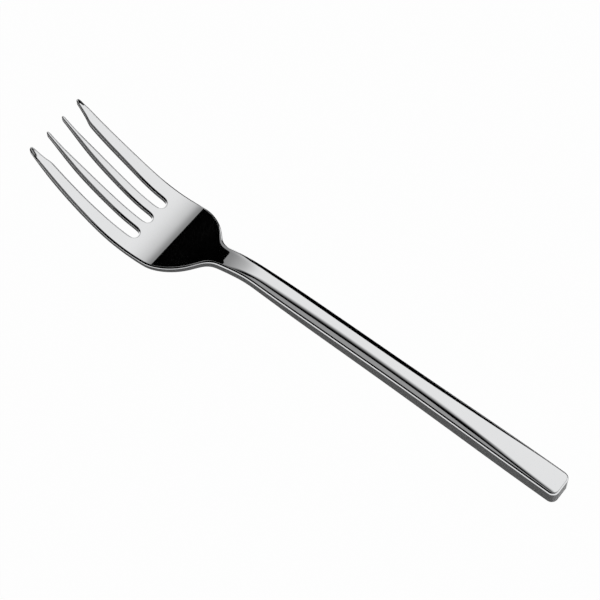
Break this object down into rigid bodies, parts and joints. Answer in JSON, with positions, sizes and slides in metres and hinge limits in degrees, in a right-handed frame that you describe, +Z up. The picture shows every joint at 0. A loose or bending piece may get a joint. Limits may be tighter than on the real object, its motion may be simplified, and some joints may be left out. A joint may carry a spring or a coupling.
{
  "type": "salad fork",
  "caption": "Polished one-piece steel fork with a slim crowned bar handle, a shallow curved head and pointed tines, the outer ones wider and cut back at their inner tips.",
  "frame": {"origin": "on the table, under the middle of the fork's length and width, with the fork lying tines up", "axes": "+X from the tine tips towards the end of the handle, +Y across the head, +Z up"},
  "size_m": [0.184, 0.0262, 0.023],
  "materials": {
    "polished_steel": "mirror-polished stainless steel, with fine hairlines along its length"
  },
  "bodies": {
    "root": {"handle": "polished_steel", "neck": "polished_steel", "palm": "polished_steel", "tine_inner_left": "polished_steel", "tine_inner_right": "polished_steel", "tine_outer_left": "polished_steel", "tine_outer_right": "polished_steel"}
  },
  "joints": []
}
